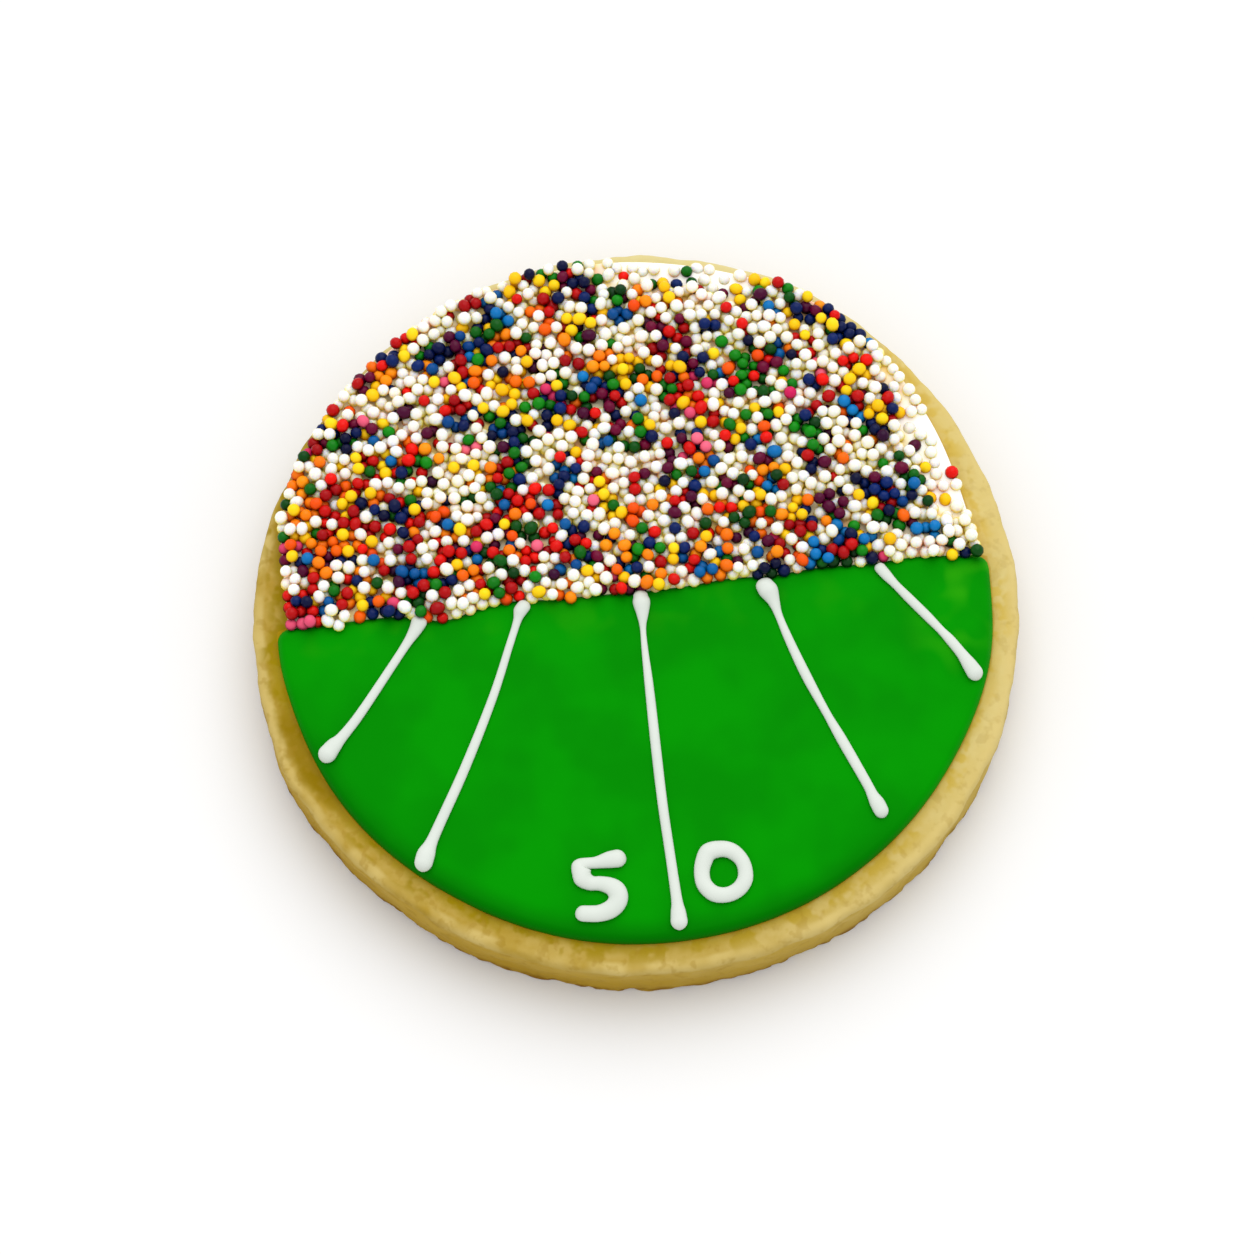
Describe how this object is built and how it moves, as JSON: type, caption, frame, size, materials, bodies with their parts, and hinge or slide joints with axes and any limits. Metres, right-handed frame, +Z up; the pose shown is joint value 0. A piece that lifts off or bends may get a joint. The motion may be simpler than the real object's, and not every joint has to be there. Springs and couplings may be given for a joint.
{
  "type": "iced sugar cookie",
  "caption": "Round sugar cookie, one half flooded with green icing with piped white field lines and numerals, the other with white icing under round coloured sprinkles.",
  "frame": {"origin": "centre of the cookie's flat underside, which is the bottom centre of its box", "axes": "+Z up through the thickness; +Y towards the sprinkled half, so the numerals lie towards -Y; +X to the right of someone who reads the numerals"},
  "size_m": [0.0762, 0.0756, 0.0098],
  "materials": {
    "biscuit": "matt pale golden baked dough",
    "green_icing": "smooth satin set icing",
    "white_icing": "satin set icing under round sugar sprinkles of many colours",
    "piped_icing": "smooth satin piped icing"
  },
  "bodies": {
    "root": {"biscuit": "biscuit", "green_icing": "green_icing", "sprinkled_icing": "white_icing", "field_line_far_left": "piped_icing", "field_line_left": "piped_icing", "field_line_middle": "piped_icing", "field_line_right": "piped_icing", "field_line_far_right": "piped_icing", "numeral_five": "piped_icing", "numeral_zero": "piped_icing"}
  },
  "joints": []
}
